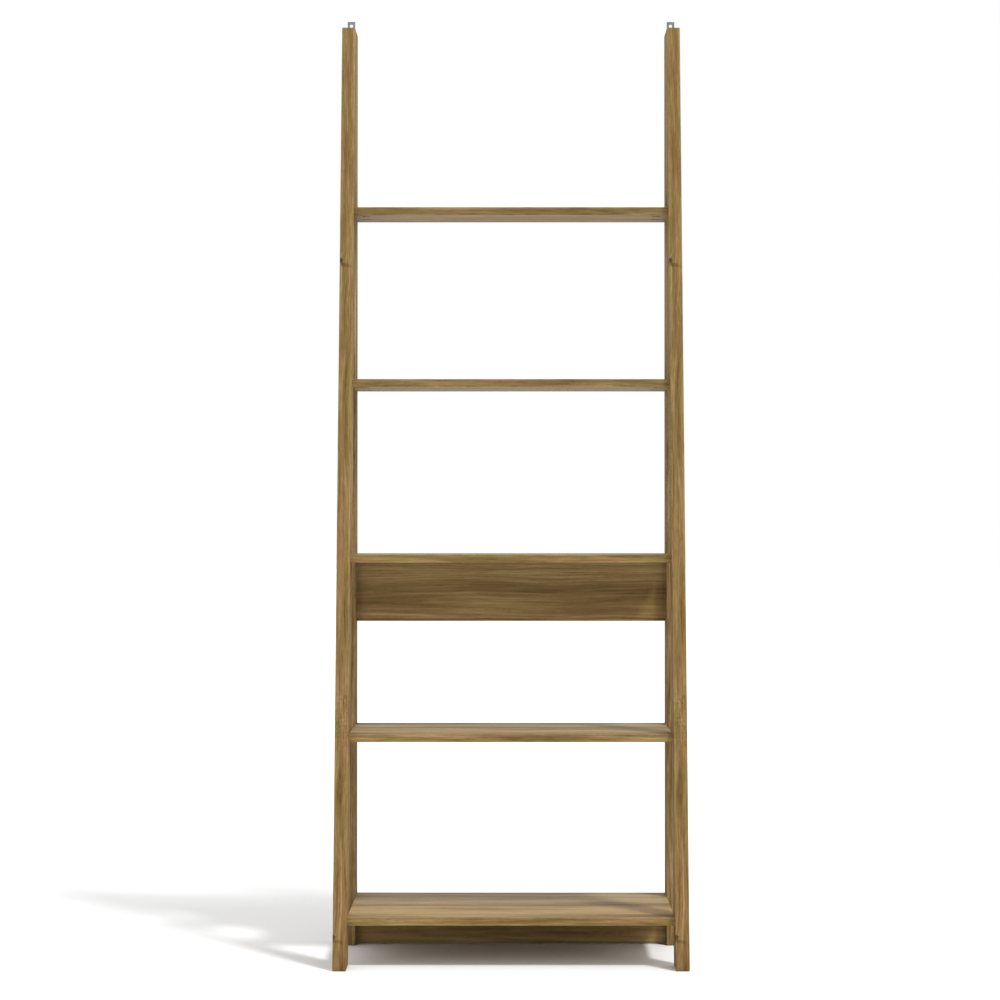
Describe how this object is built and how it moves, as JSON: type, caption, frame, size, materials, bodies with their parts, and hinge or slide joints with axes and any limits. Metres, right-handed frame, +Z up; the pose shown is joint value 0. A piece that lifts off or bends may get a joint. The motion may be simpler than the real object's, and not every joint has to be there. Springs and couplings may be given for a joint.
{
  "type": "ladder shelf",
  "caption": "Tall oak ladder shelf with leaning front stiles, upright back posts, flat shelves that get deeper downwards, back rails and wall plates.",
  "frame": {"origin": "on the floor, under the middle of the whole shelf", "axes": "+Z up, +X to the right seen from the front, +Y towards the wall behind; the front faces -Y"},
  "size_m": [0.7, 0.3517, 1.934],
  "materials": {
    "oak_board": "matt weathered oak, grain along each board",
    "dowel_wood": "plain beech",
    "fastener_steel": "zinc-plated steel",
    "cam_zinc": "die-cast zinc",
    "cap_plastic": "matt plastic, moulded in the brown of the boards",
    "bracket_steel": "satin zinc-plated plate"
  },
  "bodies": {
    "root": {"front_stile_left": "oak_board", "front_stile_right": "oak_board", "back_post_left": "oak_board", "back_post_right": "oak_board", "middle_back_rail": "oak_board", "bottom_back_rail": "oak_board", "bottom_shelf": "oak_board", "lower_shelf": "oak_board", "middle_shelf": "oak_board", "upper_shelf": "oak_board", "top_shelf": "oak_board", "bottom_shelf_dowels": "dowel_wood", "bottom_shelf_cam_bolts": "fastener_steel", "bottom_shelf_cam_locks": "cam_zinc", "bottom_shelf_cam_caps": "cap_plastic", "lower_shelf_dowels": "dowel_wood", "lower_shelf_cam_bolts": "fastener_steel", "lower_shelf_cam_locks": "cam_zinc", "lower_shelf_cam_caps": "cap_plastic", "middle_shelf_dowels": "dowel_wood", "middle_shelf_cam_bolts": "fastener_steel", "middle_shelf_cam_locks": "cam_zinc", "middle_shelf_cam_caps": "cap_plastic", "upper_shelf_dowels": "dowel_wood", "upper_shelf_cam_bolts": "fastener_steel", "upper_shelf_cam_locks": "cam_zinc", "upper_shelf_cam_caps": "cap_plastic", "top_shelf_dowels": "dowel_wood", "top_shelf_cam_bolts": "fastener_steel", "top_shelf_cam_locks": "cam_zinc", "top_shelf_cam_caps": "cap_plastic", "middle_back_rail_dowels": "dowel_wood", "middle_back_rail_cam_bolts": "fastener_steel", "middle_back_rail_cam_locks": "cam_zinc", "middle_back_rail_cam_caps": "cap_plastic", "bottom_back_rail_dowels": "dowel_wood", "bottom_back_rail_cam_bolts": "fastener_steel", "bottom_back_rail_cam_locks": "cam_zinc", "bottom_back_rail_cam_caps": "cap_plastic", "frame_dowels": "dowel_wood", "wall_bracket_left": "bracket_steel", "wall_bracket_right": "bracket_steel", "wall_bracket_screws": "fastener_steel"}
  },
  "joints": []
}
